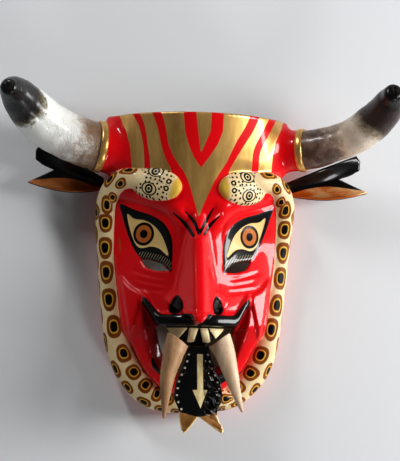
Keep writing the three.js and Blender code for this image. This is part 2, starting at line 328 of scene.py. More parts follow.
def hollow_roof(x, y):
    """Height of the hollow behind the face: an arch, kept inside the wood."""
    half = mask_half_width(least(y, CROWN_Y)) - WALL - 2 * ramp(-90, -100, y)
    arch = np.sqrt(most(0, 1 - np.abs(x / half) ** 2.6))
    roof = 10 + (hollow_height(y) - 10) * arch
    edge = face_half_width(y) - EDGE_WALL
    wood = mix(smooth_face(x, y) - FRONT_WALL, SNAKE_REST_Z - WALL, ramp(edge - 8, edge, np.abs(x)))
    return least(roof, wood)


# ---------------------------------------------------------------------------- the field
# The finer step keeps the shell just under 100,000 quads.
STEP = 1.48
GRID_LOW = np.array([-103.0, -144.0, -2.0])
GRID_HIGH = np.array([112.0, 134.0, 112.0])
axes = [np.arange(lo, hi + STEP, STEP, dtype=np.float32) for lo, hi in zip(GRID_LOW, GRID_HIGH)]
X, Y, Z = (axes[0][:, None, None], axes[1][None, :, None], axes[2][None, None, :])
x2, y2 = np.meshgrid(axes[0], axes[1], indexing="ij")


def sheet_field(height):
    """Distance above a height map, made true by the map's slope."""
    along_x, along_y = np.gradient(height, STEP)
    slope = np.sqrt(1 + least(along_x**2 + along_y**2, 9))
    return ((Z - height[:, :, None]) / slope[:, :, None]).astype(np.float32)


def width_field(half_width, inset=0.0):
    """Distance outside |x| = half_width(y), made true by the outline's slope."""
    half = half_width(axes[1]) - inset
    slope = np.sqrt(1 + least(np.gradient(half, STEP) ** 2, 25))
    return ((np.abs(x2) - half[None, :]) / slope[None, :]).astype(np.float32)[:, :, None]


def around(low, high):
    """The part of the grid between two corners, as slices, and its coordinates."""
    cells = []
    for axis, lo, hi in zip(axes, low, high):
        start, stop = np.searchsorted(axis, [lo, hi])
        cells.append(slice(max(0, start - 1), stop + 1))
    i, j, k = cells
    return (i, j, k), (X[i], Y[:, j], Z[:, :, k])


FAR = np.float32(60.0)          # stands for any distance beyond a part's own piece of the grid
SNAKE_REACH, HEAD_REACH = 18, 34
shape = tuple(len(a) for a in axes)

# The snakes' centre lines, from the brow down the right side and round the chin.
SNAKE_SIDE = [(46, 71, 62), (57, 72.5, 59), (69, 72, 52), (78, 65, 43), (82, 54, 35), (81.5, 40, 28),
              (79.5, 15, 23), (75.5, -30, 21), (70, -74, 21), (62.5, -96, 21), (55, -108, 21),
              (44, -119.5, 21), (32, -126, 21)]
TAILS = {-1: [(12, -129, 24), (-12, -128.5, 28), (-30, -126.5, 29), (-34, -126, 29)],
         1: [(14, -129, 17), (0, -129.5, 16)]}
snake_radius = through([(0, 8), (0.06, 9), (0.14, 9.8), (0.25, 11.5), (0.6, 11.5), (0.75, 12.7),
                        (0.93, 11), (0.985, 8.5), (1, 6)])


def snake_path(side):
    """A snake's centre line from its neck to its tail; side is -1 or 1."""
    path = curved(SNAKE_SIDE + TAILS[side], 8)
    return path * [side, 1, 1]


def snake_field(path):
    """Distance outside a snake's body round its centre line."""
    field = np.full(shape, FAR, np.float32)
    lengths, starts = measure(path)
    for i, length in enumerate(lengths):
        a, b = path[i], path[i + 1]
        part, (gx, gy, gz) = around(least(a, b) - SNAKE_REACH, most(a, b) + SNAKE_REACH)
        d = b - a
        t = ((gx - a[0]) * d[0] + (gy - a[1]) * d[1] + (gz - a[2]) * d[2]) / length**2
        t = np.clip(t, 0, 1)
        radius = snake_radius((starts[i] + t * length) / starts[-1])
        distance = np.sqrt((gx - a[0] - t * d[0]) ** 2 + (gy - a[1] - t * d[1]) ** 2
                           + (gz - a[2] - t * d[2]) ** 2)
        field[part] = least(field[part], distance - radius)
    return field


class Head:
    """A snake's egg-shaped head on the brow, leaning outwards and turned about the face's axis."""

    def __init__(self, side, turn):
        tilt = side * 0.5
        self.centre = np.array([side * 39.5, 68.5 if side < 0 else 66.5, 66.0])
        along = np.array([math.cos(tilt), 0, -math.sin(tilt)])
        across = np.array([0, 1, 0])
        up = np.array([math.sin(tilt), 0, math.cos(tilt)])
        turned = np.array([[math.cos(turn), -math.sin(turn), 0],
                           [math.sin(turn), math.cos(turn), 0], [0, 0, 1]])
        self.along = turned @ along * -side
        self.across = turned @ across
        self.up = turned @ up

    def local(self, x, y, z):
        """Distance towards the snout, across the head, and up from its middle."""
        dx, dy, dz = x - self.centre[0], y - self.centre[1], z - self.centre[2]
        return tuple(dx * v[0] + dy * v[1] + dz * v[2] for v in (self.along, self.across, self.up))

    def field(self):
        """Distance outside the egg, wider at the back and flat from above."""
        out = np.full(shape, FAR, np.float32)
        part, place = around(self.centre - HEAD_REACH, self.centre + HEAD_REACH)
        u, v, w = self.local(*place)
        half_wide = 16.5 * (1 - 0.14 * np.clip(u / 25, -1, 1))
        k = np.sqrt((u / 25.5) ** 2 + (v / half_wide) ** 2 + (w / 8.5) ** 2)
        slope = np.sqrt((u / 650) ** 2 + (v / 272) ** 2 + (w / 72) ** 2)
        out[part] = (k - 1) * k / most(1e-3, slope)
        return least(out, FAR)


heads = {-1: Head(-1, -0.36), 1: Head(1, 0.12)}


class Socket:
    """A collar whose axis leans forward; depth is measured inwards from its mouth."""

    def __init__(self, mouth, axis, radius):
        self.mouth, self.radius = np.array(mouth), radius
        self.axis = np.array(axis) / np.linalg.norm(axis)
        self.profile = through([(-1, radius - 0.9), (1, radius), (6, radius), (6.8, radius - 1.1),
                                (8, radius - 0.6), (18, radius - 0.2), (28, radius + 3)])

    def place(self, x, y, z):
        """(depth below the mouth, distance from the axis)."""
        rel = (x - self.mouth[0], y - self.mouth[1], z - self.mouth[2])
        out = sum(r * a for r, a in zip(rel, self.axis))
        return -out, np.sqrt(most(0, sum(r * r for r in rel) - out * out))

    def collar(self):
        """Distance outside the wooden collar."""
        depth, off = self.place(X, Y, Z)
        return most(off - self.profile(depth), -depth, depth - 30).astype(np.float32)

    def bore(self):
        """Distance outside the recess that the horn sits in."""
        depth, off = self.place(X, Y, Z)
        return most(off - (self.radius - SOCKET_RIM), depth - SOCKET_RECESS).astype(np.float32)


SOCKET_RIM, SOCKET_RECESS = 1.2, 5.0
SOCKETS = {"left": Socket((-94.5, 103.4, 41), (-1, 0.1, 0.2), 23.6),
           "right": Socket((101, 106.2, 43), (1, 0.05, 0.42), 19.8)}


def flat_field(signed):
    """A field that runs straight through the mask, from a signed distance on the plan."""
    return (-signed).astype(np.float32)[:, :, None]


TEETH_TOP, SEAT_FOOT = -56.0, -94.0
TEETH_BACK, TEETH_FRONT = 52.0, 70.5
teeth_half_width = through([(-96, 5.5), (-84, 7), (-78, 8.5), (-76, 11), (-72, 18), (-62, 27),
                            (-50, 32)])


def tooth_gap(x, y):
    """Signed distance into the black wedges between the teeth."""
    gaps = [[(-6.8, -61), (-18, -75), (-9, -76)], [(1.9, -61), (-3, -76), (5.6, -76)],
            [(9.4, -61), (13, -76), (19, -74)]]
    return most(*(inside(gap, x, y) for gap in gaps))


def teeth_field():
    """The row of teeth, with the tongue's seat below its middle."""
    front = TEETH_FRONT - 2.2 * ramp(-0.4, 1.2, tooth_gap(x2, y2)) * (y2 > -80)
    front = front - 0.02 * x2**2 * (y2 > -78)
    width = width_field(teeth_half_width)
    slab = most(Z - front[:, :, None], TEETH_BACK - Z)
    ends = most(Y - TEETH_TOP - 6, SEAT_FOOT - Y)
    return most(width, slab, ends).astype(np.float32)


def mouth_hole():
    """Signed distance into the open mouth, inside its sloping sides."""
    sides = inside_mouth(np.abs(x2), y2) - MOUTH_BEVEL + 1
    return least(sides, LIP_FOOT_Y - y2, y2 - MOUTH_HOLE_FOOT_Y)


FACE_FOOT_Y, HOLLOW_FOOT_Y = -123, -129
WALL_TOP_Y, WALL_FOOT_Y = 88, -137


def build_fields():
    """The wood as one field, negative inside, and the parts that the paint follows."""
    face = sheet_field(relief(x2, y2))
    face = soft_max(face, width_field(face_half_width), 2.5)
    face = most(face, Y - CROWN_Y, FACE_FOOT_Y - Y)
    wall = most(width_field(mask_half_width, 3.5), Z - SNAKE_REST_Z - 2, Y - WALL_TOP_Y,
                WALL_FOOT_Y - Y)
    snake = {side: snake_field(snake_path(side)) for side in (-1, 1)}
    head = {side: heads[side].field() for side in (-1, 1)}
    socket = least(SOCKETS["left"].collar(), SOCKETS["right"].collar())
    body = soft_min(face, socket, 9)
    snakes = soft_min(snake[-1], snake[1], 1.0)
    for side in (-1, 1):
        snakes = soft_min(snakes, head[side], 2.0)
    solid = soft_min(least(body, wall), snakes, 1.2)
    hollow = sheet_field(hollow_roof(x2, y2))
    hollow = soft_max(hollow, width_field(mask_half_width, WALL + 1), 3)
    hollow = most(hollow, HOLLOW_FOOT_Y - Y)
    openings = least(flat_field(mouth_hole()), flat_field(inside(EYE_SLIT, np.abs(x2), y2)))
    solid = soft_max(solid, -openings, 1.0)
    solid = most(solid, -hollow, *(-side.bore() for side in SOCKETS.values()))
    teeth = teeth_field()
    solid = soft_min(solid, teeth, 0.6)
    solid = most(solid, -Z)
    parts = {"body": body, "socket": socket, "snakes": snakes, "wall": wall, "hollow": hollow,
             "snake_left": snake[-1], "snake_right": snake[1], "head_left": head[-1],
             "head_right": head[1], "teeth": teeth}
    return solid, parts


# ---------------------------------------------------------------------------- field to mesh
CORNERS = list(itertools.product((0, 1), repeat=3))


def surface_net(field):
    """Vertices in millimetres and quads of the field's zero surface."""
    solid = field < 0
    cells_shape = tuple(n - 1 for n in field.shape)
    count = np.zeros(cells_shape, np.int8)
    for i, j, k in CORNERS:
        count += solid[i:cells_shape[0] + i, j:cells_shape[1] + j, k:cells_shape[2] + k]
    active = (count > 0) & (count < 8)
    cells = np.argwhere(active)
    number = np.full(cells_shape, -1, np.int32)
    number[active] = np.arange(len(cells))
    value = {c: field[tuple((cells + c).T)] for c in CORNERS}
    total, hits = np.zeros((len(cells), 3)), np.zeros(len(cells))
    for corner in CORNERS:
        for axis in range(3):
            if corner[axis]:
                continue
            other = tuple(c + (n == axis) for n, c in enumerate(corner))
            a, b = value[corner], value[other]
            crossed = (a < 0) != (b < 0)
            place = np.tile(np.array(corner, float), (len(cells), 1))
            place[:, axis] = np.where(crossed, a / np.where(crossed, a - b, 1), 0)
            total += np.where(crossed[:, None], place, 0)
            hits += crossed
    vertices = (cells + total / hits[:, None]) * STEP + GRID_LOW
    quads = []
    for axis in range(3):
        u, v = (axis + 1) % 3, (axis + 2) % 3
        low, high = [slice(None)] * 3, [slice(None)] * 3
        low[axis], high[axis] = slice(0, -1), slice(1, None)
        for first, second, flip in ((solid[tuple(low)], solid[tuple(high)], False),
                                    (solid[tuple(high)], solid[tuple(low)], True)):
            edges = np.argwhere(first & ~second)
            keep = (edges[:, u] > 0) & (edges[:, v] > 0)
            keep &= (edges[:, u] < cells_shape[u]) & (edges[:, v] < cells_shape[v])
            edges = edges[keep]
            ring = []
            for du, dv in ((-1, -1), (0, -1), (0, 0), (-1, 0)):
                cell = edges.copy()
                cell[:, u] += du
                cell[:, v] += dv
                ring.append(number[tuple(cell.T)])
            quads.append(np.stack(ring[::-1] if flip else ring, axis=1))
    return vertices, np.concatenate(quads)


def sample(field, points):
    """The field's value at points, between its grid's corners."""
    place = (points - GRID_LOW) / STEP
    cell = np.clip(place.astype(int), 0, np.array(field.shape) - 2)
    t = place - cell
    out = 0
    for corner in CORNERS:
        weight = np.prod(np.abs(1 - np.array(corner) - t), axis=1)
        out = out + weight * field[tuple((cell + corner).T)]
    return out


def new_mesh(name, vertices, faces, attributes=None):
    """A Blender object from points in the mask's millimetres, with named values on its points."""
    mesh = bpy.data.meshes.new(name)
    mesh.from_pydata(to_metres(vertices).tolist(), [], [list(map(int, f)) for f in faces])
    for key, values in (attributes or {}).items():
        layer = mesh.attributes.new(key, "FLOAT", "POINT")
        layer.data.foreach_set("value", np.asarray(values, np.float32))
    mesh.polygons.foreach_set("use_smooth", [True] * len(mesh.polygons))
    mesh.update()
    obj = bpy.data.objects.new(name, mesh)
    bpy.context.scene.collection.objects.link(obj)
    return obj


def place_piece(obj, material, replaced=None):
    """Paint a piece, hang it on the root body, and hide the CAD part that it replaces."""
    obj.data.materials.append(material)
    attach(obj, "root")
    if replaced:
        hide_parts(replaced)


# ---------------------------------------------------------------------------- the decoration
# The gold leaf of the crown, down to its long point between the brows.
GOLD_LEAF = [(-76, 134), (-68.2, 115.6), (-64.2, 99.9), (-62.4, 83.8), (-62, 68), (-26, 68),
             (-20.8, 83.7), (-16.2, 78.5), (-11.9, 70.4), (-8.9, 61.4), (-5.9, 52.6), (-3, 43.7),
             (-1.1, 36), (2, 46), (6.7, 57.4), (11.8, 69.3), (18.2, 80), (23, 87.5), (28, 68),
             (67, 68), (67.7, 85), (68.3, 98.9), (70.6, 110), (76, 122), (80, 134)]
# Red stripes on it: each a line from the rim down, with half widths at its start, middle and end.
STRIPES = [
    ([(-62, 134), (-55, 120), (-51, 103), (-48.5, 84), (-48, 70)], (2.9, 1.9, 3.0)),
    ([(-43.5, 134), (-38, 119.5), (-33.8, 102), (-29.3, 90.7), (-24, 82), (-19, 70)], (3.8, 3.0, 4.4)),
    ([(49.5, 134), (43, 118.6), (35, 105), (27.3, 90), (22, 78)], (4.4, 3.9, 2.4)),
    ([(68.5, 134), (59, 115.5), (51.8, 100), (50.8, 84), (50.5, 70)], (3.3, 3.4, 3.3)),
]
CHEVRON_OUTER = [(-18.4, 134), (-18.2, 128), (-16.4, 113.6), (-12.4, 100.9), (-7.4, 90.9),
                 (-0.7, 81.6), (7.1, 92.3), (13.9, 103.2), (17.9, 114.8), (17.9, 134)]
CHEVRON_INNER = [(-7.3, 134), (-7, 128), (-4.6, 113.8), (-1.3, 93.7), (6.6, 114.2), (7, 134)]


def gold_paint(x, y):
    """Signed distance into the gold leaf of the crown."""
    field = inside(GOLD_LEAF, x, y)
    for line, widths in STRIPES:
        field = least(field, -stroke(curved(line, 5), widths, x, y))
    chevron = least(inside(CHEVRON_OUTER, x, y), -inside(CHEVRON_INNER, x, y))
    return least(field, -chevron)


def black_paint(x, y, z):
    """Signed distance into the black: lids, lips, brow grooves, nostrils and tooth gaps, and a painted
    shadow beside the tongue on the right.
    """
    a = np.abs(x)
    black = least(inside(rounded(EYE_BLACK, 4), a, y), -inside(rounded(EYE_WHITE, 4), a, y))
    for groove in BROW_GROOVES:
        black = most(black, stroke(curved(groove, 4), (0.5, 1.6, 1.3), x, y))
    black = most(black, nostril(x, y))
    lip = least(y - lip_foot(a) + 1.5, lip_top(a) + 1.3 - y, 49.5 - a)
    tip = least(7.4 - np.abs(x - NOSE_X) - 0.4 * most(0, -50 - y), z - 85.5)
    black = most(black, least(lip, -tip))
    gaps = most(tooth_gap(x, y), least(-76 - y, 22 - a))
    black = most(black, np.where((z > 60) & (y < -58), gaps, -9))
    # The lower lip's black paint; the wide right stroke is also painted shadow between the tongue and
    # the right tusk.
    for line, widths in LOWER_LIP_AND_SHADOW:
        black = most(black, np.where(z < 66, stroke(curved(line, 4), widths, x, y), -9))
    return black


ring_gap = through([(0, 14), (30, 19), (60, 22.5), (110, 25), (170, 25), (200, 20.5), (235, 15.5),
                    (270, 13), (340, 13)])
ring_angle = through([(0, 0.1), (32, 0.0), (60, 0.1), (90, 0.4), (130, 0.42), (160, 0.3), (180, 0.05),
                      (200, -0.25), (240, -0.33), (262, -0.1), (340, 0.1)])


def spot_distance(path, side, points):
    """How far each point is from the nearest painted ring on a snake: 0 middle, 1 outer edge."""
    lengths, starts = measure(path)
    best = np.full(len(points), 1e9)
    place, angle = np.zeros(len(points)), np.zeros(len(points))
    for a, b, length, start in zip(path, path[1:], lengths, starts):
        direction = (b - a) / length
        rel = points - a
        t = np.clip(rel @ direction, 0, length)
        off = rel - t[:, None] * direction
        distance = np.linalg.norm(off, axis=1)
        outward = np.cross(direction, (0, 0, 1)) * -side
        outward /= np.linalg.norm(outward)
        nearer = distance < best
        best = np.where(nearer, distance, best)
        place = np.where(nearer, start + t, place)
        angle = np.where(nearer, np.arctan2(off @ outward, off[:, 2]), angle)
    rng = np.random.default_rng(5 if side < 0 else 9)
    ring = np.full(len(points), 3.0)
    at = 17.0
    while at < starts[-1] + 2:
        gap = float(ring_gap(at))
        radius = float(snake_radius(at / starts[-1]))
        main = float(ring_angle(at))
        rows = [(at, main, 0.43 * gap, 0.62 * radius),
                (at + 0.5 * gap, main + 1.25, 0.30 * gap + 1.4, 0.46 * radius),
                (at, main + 2.3, 0.34 * gap, 0.45 * radius)]
        if at > 215:
            rows.append((at + 0.5 * gap, main - 1.15, 0.30 * gap + 1.6, 0.48 * radius))
        if at < 36:
            rows = [(at, 0.95, 7.2, 5.6), (at + 0.5 * gap, -0.5, 6.8, 5.2), (at, 2.3, 6.4, 5.0)]
        for row_at, row_angle, half_long, half_wide in rows:
            pinch, shift = rng.uniform(-0.2, 0.35), rng.uniform(-0.9, 0.9)
            du = (place - row_at - shift) / half_long
            dv = (angle - row_angle) * radius / half_wide
            dv = dv / np.clip(1 - pinch * du, 0.4, 1.6)
            ring = least(ring, (np.abs(du) ** 2.5 + np.abs(dv) ** 2.5) ** 0.4)
        at += gap
    return ring


def decorate(points, parts):
    """The painted decoration at each point, and the painted shade inside the mouth, as named values
    that are positive inside.
    """
    x, y, z = points.T
    a = np.abs(x)
    at = {key: sample(field, points) for key, field in parts.items()}
    body = least(at["body"], at["wall"])
    snakes = at["snakes"]
    on_teeth = np.where((z > 50.5) & (y < -56), 0.7 - np.abs(at["teeth"]), -9)
    wood = most(0.9 - np.abs(at["hollow"]), np.where(z < 0.8, 0.5, -9), y - CROWN_Y + 0.45)
    wood = least(wood, np.where(z > 55, -on_teeth, 9))
    white = inside(rounded(EYE_WHITE, 4), a, y)
    cream = most(body - snakes, on_teeth, white)
    gold = least(gold_paint(x, y), snakes - body, at["socket"] + 1.5)
    for socket in SOCKETS.values():
        depth, off = socket.place(x, y, z)
        under_band = least(5.6 - depth, depth + 3, socket.radius + 2.5 - off)
        gold = most(gold, under_band)
    black = np.where((z > 30) | (y < -60), black_paint(x, y, z), -9)
    left_rings, right_rings = (spot_distance(snake_path(side), side, points) for side in (-1, 1))
    ring = np.where(at["snake_left"] < at["snake_right"], left_rings, right_rings)
    ring = np.where((z > 48) & (y < -50), 3.0, ring)
    head_u, head_v = (np.where(x < 0, left, right) for left, right
                      in zip(heads[-1].local(x, y, z)[:2], heads[1].local(x, y, z)[:2]))
    neck = np.where(x < 0, at["snake_left"], at["snake_right"])
    head = least(body, neck + 0.5) - np.where(x < 0, at["head_left"], at["head_right"])
    iris = np.hypot((a - IRIS[0]) / 9.2, (y - IRIS[1]) / 10.6)
    slit = inside(rounded(EYE_SLIT, 3), a, y)
    lash = least(inside(rounded(EYE_BLACK, 4), a, y) - 0.6, -0.9 - white, slit + 6,
                 y - np.interp(a, (20, 58), (-13, 3)))
    # The mouth value marks where painted shade darkens the red: inside the mouth's sides and under the
    # lip, at full strength on the left half and much weaker on the right.
    mouth = least(inside_mouth(a, y) + 3, lip_foot(a) - y)
    scratch = stroke([(-71.5, 22), (-69.5, 12), (-70, 4)], (0.3, 1.1, 0.3), x, y)
    return {"wood": wood, "gold": gold, "cream": cream, "black": black, "ring": ring, "head": head,
            "head_u": head_u, "head_v": head_v, "iris": iris, "eye_white": white,
            "lash": lash, "lash_line": x - 0.55 * y,
            "mouth": np.where(z < 64, mouth, -9) * np.where(x < 0, 1, 0.3),
            "scratch": np.where(z > 20, scratch, -9)}


# ---------------------------------------------------------------------------- materials
class Shader:
    """A short way to write a material's nodes."""

    def __init__(self, name):
        self.material = bpy.data.materials.new(name)
        self.material.use_nodes = True
        self.tree = self.material.node_tree
        self.bsdf = self.tree.nodes["Principled BSDF"]

    def link(self, value, target):
        """Put a number, a colour or another node's output into a socket."""
        if isinstance(value, (int, float)):
            target.default_value = value
        elif isinstance(value, tuple):
            target.default_value = value if len(value) == len(target.default_value) else (*value, 1)
        else:
            self.tree.links.new(value, target)

    def node(self, kind, output, inputs=None, **settings):
        """A new node's output, from what goes into its sockets and its own settings."""
        made = self.tree.nodes.new("ShaderNode" + kind)
        for key, value in settings.items():
            setattr(made, key, value)
        for socket, value in (inputs or {}).items():
            self.link(value, made.inputs[socket])
        return made.outputs[output]

    def attribute(self, name):
        return self.node("Attribute", "Fac", attribute_name=name)

    def math(self, operation, *values):
        return self.node("Math", 0, dict(enumerate(values)), operation=operation)

    def times(self, a, b):
        return self.math("MULTIPLY", a, b)

    def plus(self, a, b):
        return self.math("ADD", a, b)

    def minus(self, a, b):
        return self.math("SUBTRACT", a, b)

    def either(self, a, b):
        return self.math("MAXIMUM", a, b)

    def above(self, value, edge=0.0, softness=0.12):
        """1 where value is above edge, with a narrow soft step."""
        return self.node("MapRange", "Result", {"Value": value, "From Min": edge - softness,
                                                "From Max": edge + softness})

    def below(self, value, edge, softness=0.12):
        return self.minus(1.0, self.above(value, edge, softness))

    def mix(self, factor, a, b):
        """A colour mixed from a to b."""
        return self.node("Mix", 2, {0: factor, 6: a, 7: b}, data_type="RGBA")

    def blend(self, factor, a, b):
        """A number mixed from a to b."""
        return self.node("Mix", 0, {0: factor, 2: a, 3: b}, data_type="FLOAT")

    def position(self, scale=(1, 1, 1), turn=0.0):
        """Place on the object, in metres, turned about the face's axis and stretched."""
        place = self.node("TexCoord", "Object")
        return self.node("Mapping", "Vector", {"Vector": place, "Rotation": (0, 0, turn),
                                               "Scale": scale})

    def noise(self, scale, detail=4.0, roughness=0.5, vector=None):
        return self.node("TexNoise", "Fac", {"Vector": vector or self.position(), "Scale": scale,
                                             "Detail": detail, "Roughness": roughness})

    def cells(self, scale, vector, randomness=1.0, **settings):
        """A cell pattern's distance: from the cells' middles unless a setting says otherwise."""
        return self.node("TexVoronoi", "Distance", {"Vector": vector, "Scale": scale,
                                                    "Randomness": randomness}, **settings)

    def ramp(self, value, stops):
        """Colours at places from 0 to 1."""
        made = self.tree.nodes.new("ShaderNodeValToRGB")
        elements = made.color_ramp.elements
        while len(elements) < len(stops):
            elements.new(0.5)
        for element, (place, colour) in zip(elements, stops):
            element.position = place
            element.color = (*colour, 1)
        self.link(value, made.inputs["Fac"])
        return made.outputs["Color"]

    def bump(self, height, strength, distance):
        return self.node("Bump", "Normal", {"Height": height, "Strength": strength,
                                            "Distance": distance})

    def finish(self, **sockets):
        for name, value in sockets.items():
            self.link(value, self.bsdf.inputs[name.replace("_", " ")])
        return self.material


RED = (0.80, 0.005, 0.010)
DEEP_RED = (0.55, 0.004, 0.007)
# The painted shade for the red inside the mouth.
SHADE_MAROON = (0.10, 0.001, 0.003)
CREAM = (0.80, 0.62, 0.34)
PALE_CREAM = (0.86, 0.73, 0.47)
BROWN = (0.36, 0.11, 0.018)
UMBER = (0.13, 0.035, 0.010)
YELLOW = (0.80, 0.50, 0.07)
INK = (0.004, 0.0035, 0.0035)
GOLD = (0.86, 0.55, 0.19)
DARK_GOLD = (0.40, 0.20, 0.055)
BARE_WOOD = (0.50, 0.33, 0.18)
DARK_WOOD = (0.30, 0.18, 0.09)
EYE_CREAM = (0.80, 0.55, 0.20)
IRIS_BROWN = (0.55, 0.17, 0.04)
LASH_GREY = (0.42, 0.36, 0.24)
SNOUT_YELLOW = (0.66, 0.42, 0.07)
WORN_PAINT = (0.22, 0.13, 0.03)


def paint_head(s, colour, head):
    """Fine dots, two outlined eyes, nostrils and a yellow snout on the snakes' heads."""
    u, v = s.attribute("head_u"), s.attribute("head_v")
    flat = s.node("CombineXYZ", 0, {"X": u, "Y": v})
    dots = s.below(s.cells(0.25, flat, 0.5, voronoi_dimensions="2D"), 0.26, 0.03)
    size_v = s.math("ABSOLUTE", v)

    def distance_to(u0, v0, stretch=1.0):
        du, dv = s.times(s.minus(u, u0), stretch), s.minus(size_v, v0)
        return s.math("SQRT", s.plus(s.times(du, du), s.times(dv, dv)))

    def ring_line(distance, radius, half_width):
        gap = s.math("ABSOLUTE", s.minus(distance, radius))
        return s.below(gap, half_width, 0.12)

    eye, lids, nose = distance_to(-1.5, 8.6), distance_to(-1.5, 8.6, 0.72), distance_to(14.5, 3.4)
    line = s.times(s.below(size_v, 0.22, 0.1), s.above(s.noise(900, 1), 0.48, 0.03))
    marks = s.either(dots, line)
    marks = s.times(marks, s.above(lids, 5.6, 0.2))
    marks = s.times(marks, s.above(nose, 2.6, 0.2))
    marks = s.times(marks, s.times(s.below(u, 16.5, 0.3), s.above(u, -19.0, 0.3)))
    for part in (ring_line(lids, 5.2, 0.5), ring_line(eye, 3.2, 0.95), s.below(eye, 1.4),
                 ring_line(nose, 1.8, 0.75)):
        marks = s.either(marks, part)
    snout = s.above(s.math("MULTIPLY_ADD", s.noise(150, 2), 3.0, u), 20.0, 1.6)
    colour = s.mix(s.times(snout, head), colour, SNOUT_YELLOW)
    return s.mix(s.times(marks, head), colour, INK)


def lacquer_material():
    """All the paint on the wood, laid over each other as the painter would, with painted shade
    darkening the red inside the mouth.
    """
    s = Shader("painted lacquer")
    broad = s.noise(14, 3)
    red = s.mix(0.35, RED, s.mix(s.above(broad, 0.52, 0.25), RED, DEEP_RED))
    # Painted shade: inside the mouth the red darkens towards maroon, most on the left side.
    inner = s.above(s.attribute("mouth"), 1.5, 3.5)
    red = s.mix(s.times(inner, 0.85), red, SHADE_MAROON)
    streaks = s.noise(60, 5, 0.65, s.position((1, 0.12, 1)))
    patches = s.noise(90, 4, 0.7)
    leaf = s.mix(0.75, GOLD, s.mix(s.above(streaks, 0.5, 0.2), DARK_GOLD, GOLD))
    is_gold = s.above(s.attribute("gold"))
    colour = s.mix(is_gold, red, leaf)
    aged = s.mix(s.above(patches, 0.55, 0.2), CREAM, PALE_CREAM)
    is_cream = s.above(s.attribute("cream"))
    colour = s.mix(is_cream, colour, aged)
    is_white = s.above(s.attribute("eye_white"))
    colour = s.mix(s.times(is_white, 0.75), colour, EYE_CREAM)
    ring = s.math("MULTIPLY_ADD", s.noise(160, 2), 0.10, s.minus(s.attribute("ring"), 0.05))
    head = s.above(s.attribute("head"), 0.0, 0.3)
    on_snake = s.times(is_cream, s.minus(1.0, head))
    on_snake = s.times(on_snake, s.below(s.attribute("eye_white"), -1.5))
    brown = s.mix(s.noise(120, 2), BROWN, UMBER)
    for edge, paint in ((1.0, brown), (0.62, YELLOW), (0.50, UMBER), (0.43, INK)):
        colour = s.mix(s.times(on_snake, s.below(ring, edge, 0.035)), colour, paint)
    colour = paint_head(s, colour, head)

    iris = s.attribute("iris")
    for edge, paint in ((1.0, INK), (0.76, IRIS_BROWN), (0.36, INK)):
        colour = s.mix(s.below(iris, edge, 0.02), colour, paint)
    colour = s.mix(s.above(s.attribute("black")), colour, INK)
    stroke_place = s.math("FRACT", s.math("DIVIDE", s.attribute("lash_line"), 2.5))
    lashes = s.times(s.below(stroke_place, 0.3, 0.12), s.above(s.attribute("lash"), 0.0, 0.3))
    colour = s.mix(s.times(lashes, 0.65), colour, LASH_GREY)
    worn = s.times(s.above(s.attribute("scratch")), s.above(s.noise(500, 2), 0.45, 0.1))
    colour = s.mix(s.times(worn, 0.8), colour, WORN_PAINT)

    grain = s.noise(30, 6, 0.6, s.position((1, 0.08, 1)))
    wood = s.mix(grain, DARK_WOOD, BARE_WOOD)
    is_wood = s.above(s.attribute("wood"), 0.0, 0.2)
    colour = s.mix(is_wood, colour, wood)

    metal = s.times(is_gold, s.minus(1.0, s.either(is_cream, is_wood)))
    roughness = s.blend(metal, 0.34, s.blend(streaks, 0.22, 0.42))
    roughness = s.blend(is_wood, roughness, 0.72)
    height = s.math("MULTIPLY_ADD", s.noise(45, 3), 0.8, s.times(s.noise(220, 3), 0.2))
    gloss = s.blend(is_cream, 0.52, 0.12)
    return s.finish(Base_Color=colour, Metallic=s.times(metal, 0.62), Roughness=roughness,
                    Normal=s.bump(height, 0.12, 0.0012), Coat_Weight=s.blend(is_wood, gloss, 0.0),
                    Coat_Roughness=0.04, Specular_IOR_Level=0.1)


# ---------------------------------------------------------------------------- the wooden shell
def build_mask_body():
    """The carved and painted shell."""
    field, parts = build_fields()
    points, quads = surface_net(field)
    obj = new_mesh("mask_shell", points, quads, decorate(points, parts))
    place_piece(obj, lacquer_material(), "mask_body")


# ---------------------------------------------------------------------------- lofted pieces
def frames_along(path):
    """Unit directions and two unit normals at each point of a path, without twist."""
    tangents = np.gradient(path, axis=0)
    tangents /= np.linalg.norm(tangents, axis=1)[:, None]
    normal = np.cross(tangents[0], (0, 0, 1.0))
    normals = []
    for tangent in tangents:
        normal = normal - tangent * (normal @ tangent)
        normal /= np.linalg.norm(normal)
        normals.append(normal)
    normals = np.array(normals)
    return tangents, normals, np.cross(tangents, normals)


def resample(path, count):
    """The path as evenly spaced points."""
    _, starts = measure(path)
    places = np.linspace(0, starts[-1], count)
    return np.stack([np.interp(places, starts, path[:, n]) for n in range(3)], axis=1)


def ring_quads(rings, sides, closed=False):
    """Quads between rings of points that follow each other, the last joined to the first if closed."""
    faces = []
    for r in range(rings if closed else rings - 1):
        here, there = r * sides, (r + 1) % rings * sides
        for k in range(sides):
            n = (k + 1) % sides
            faces.append((here + k, here + n, there + n, there + k))
    return faces


